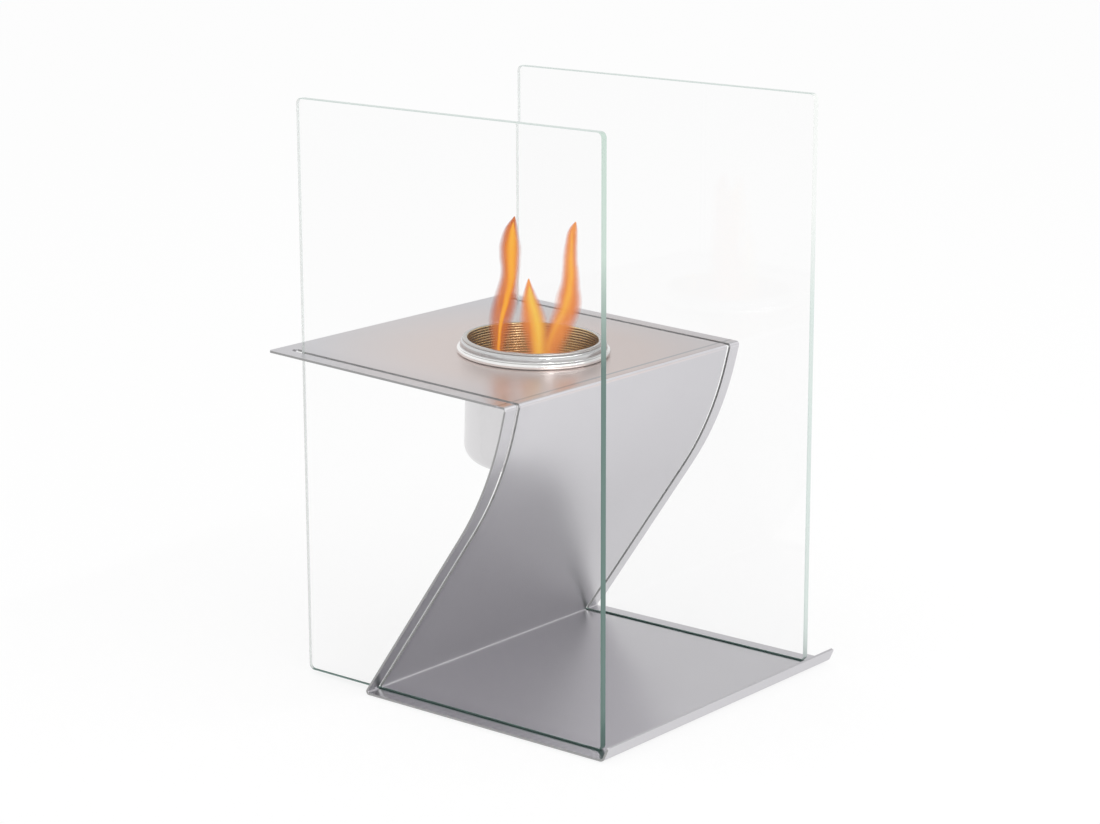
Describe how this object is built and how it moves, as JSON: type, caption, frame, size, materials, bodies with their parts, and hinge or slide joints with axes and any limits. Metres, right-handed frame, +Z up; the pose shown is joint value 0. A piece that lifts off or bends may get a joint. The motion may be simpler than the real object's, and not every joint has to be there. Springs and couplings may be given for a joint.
{
  "type": "tabletop bioethanol fireplace",
  "caption": "Tabletop bioethanol fireplace: a lift-out burner cup hangs in a stand bent from one steel sheet, with tall glass panes standing in long slots at its sides.",
  "frame": {"origin": "on the table, under the middle of the footprint (the stand's and panes' bounding box)", "axes": "+Z up; +Y from the front lip to the rear; +X to the right for a viewer who faces the front lip"},
  "size_m": [0.256, 0.2956, 0.403],
  "materials": {
    "brushed_sheet": "fine brushed",
    "clear_glass": "clear, ground edges",
    "drawn_steel": "drawn",
    "spun_steel": "spun and polished",
    "ceramic_wool": "matte fibre",
    "foot_rubber": "matte"
  },
  "bodies": {
    "stand": {"stand": "brushed_sheet", "foot_pads": "foot_rubber"},
    "left_glass": {"left_glass": "clear_glass"},
    "right_glass": {"right_glass": "clear_glass"},
    "burner": {"fuel_can": "drawn_steel", "burner_collar": "spun_steel", "wool_pad": "ceramic_wool", "retaining_screen": "drawn_steel"}
  },
  "joints": [
    {"name": "burner_lift", "type": "slide", "parent": "stand", "child": "burner", "axis": [0, -0.0384, 0.9993], "range_m": [0, 0.27]},
    {"name": "left_glass_lift", "type": "slide", "parent": "stand", "child": "left_glass", "axis": [0, 0, 1], "range_m": [0, 0.24]},
    {"name": "right_glass_lift", "type": "slide", "parent": "stand", "child": "right_glass", "axis": [0, 0, 1], "range_m": [0, 0.24]}
  ]
}
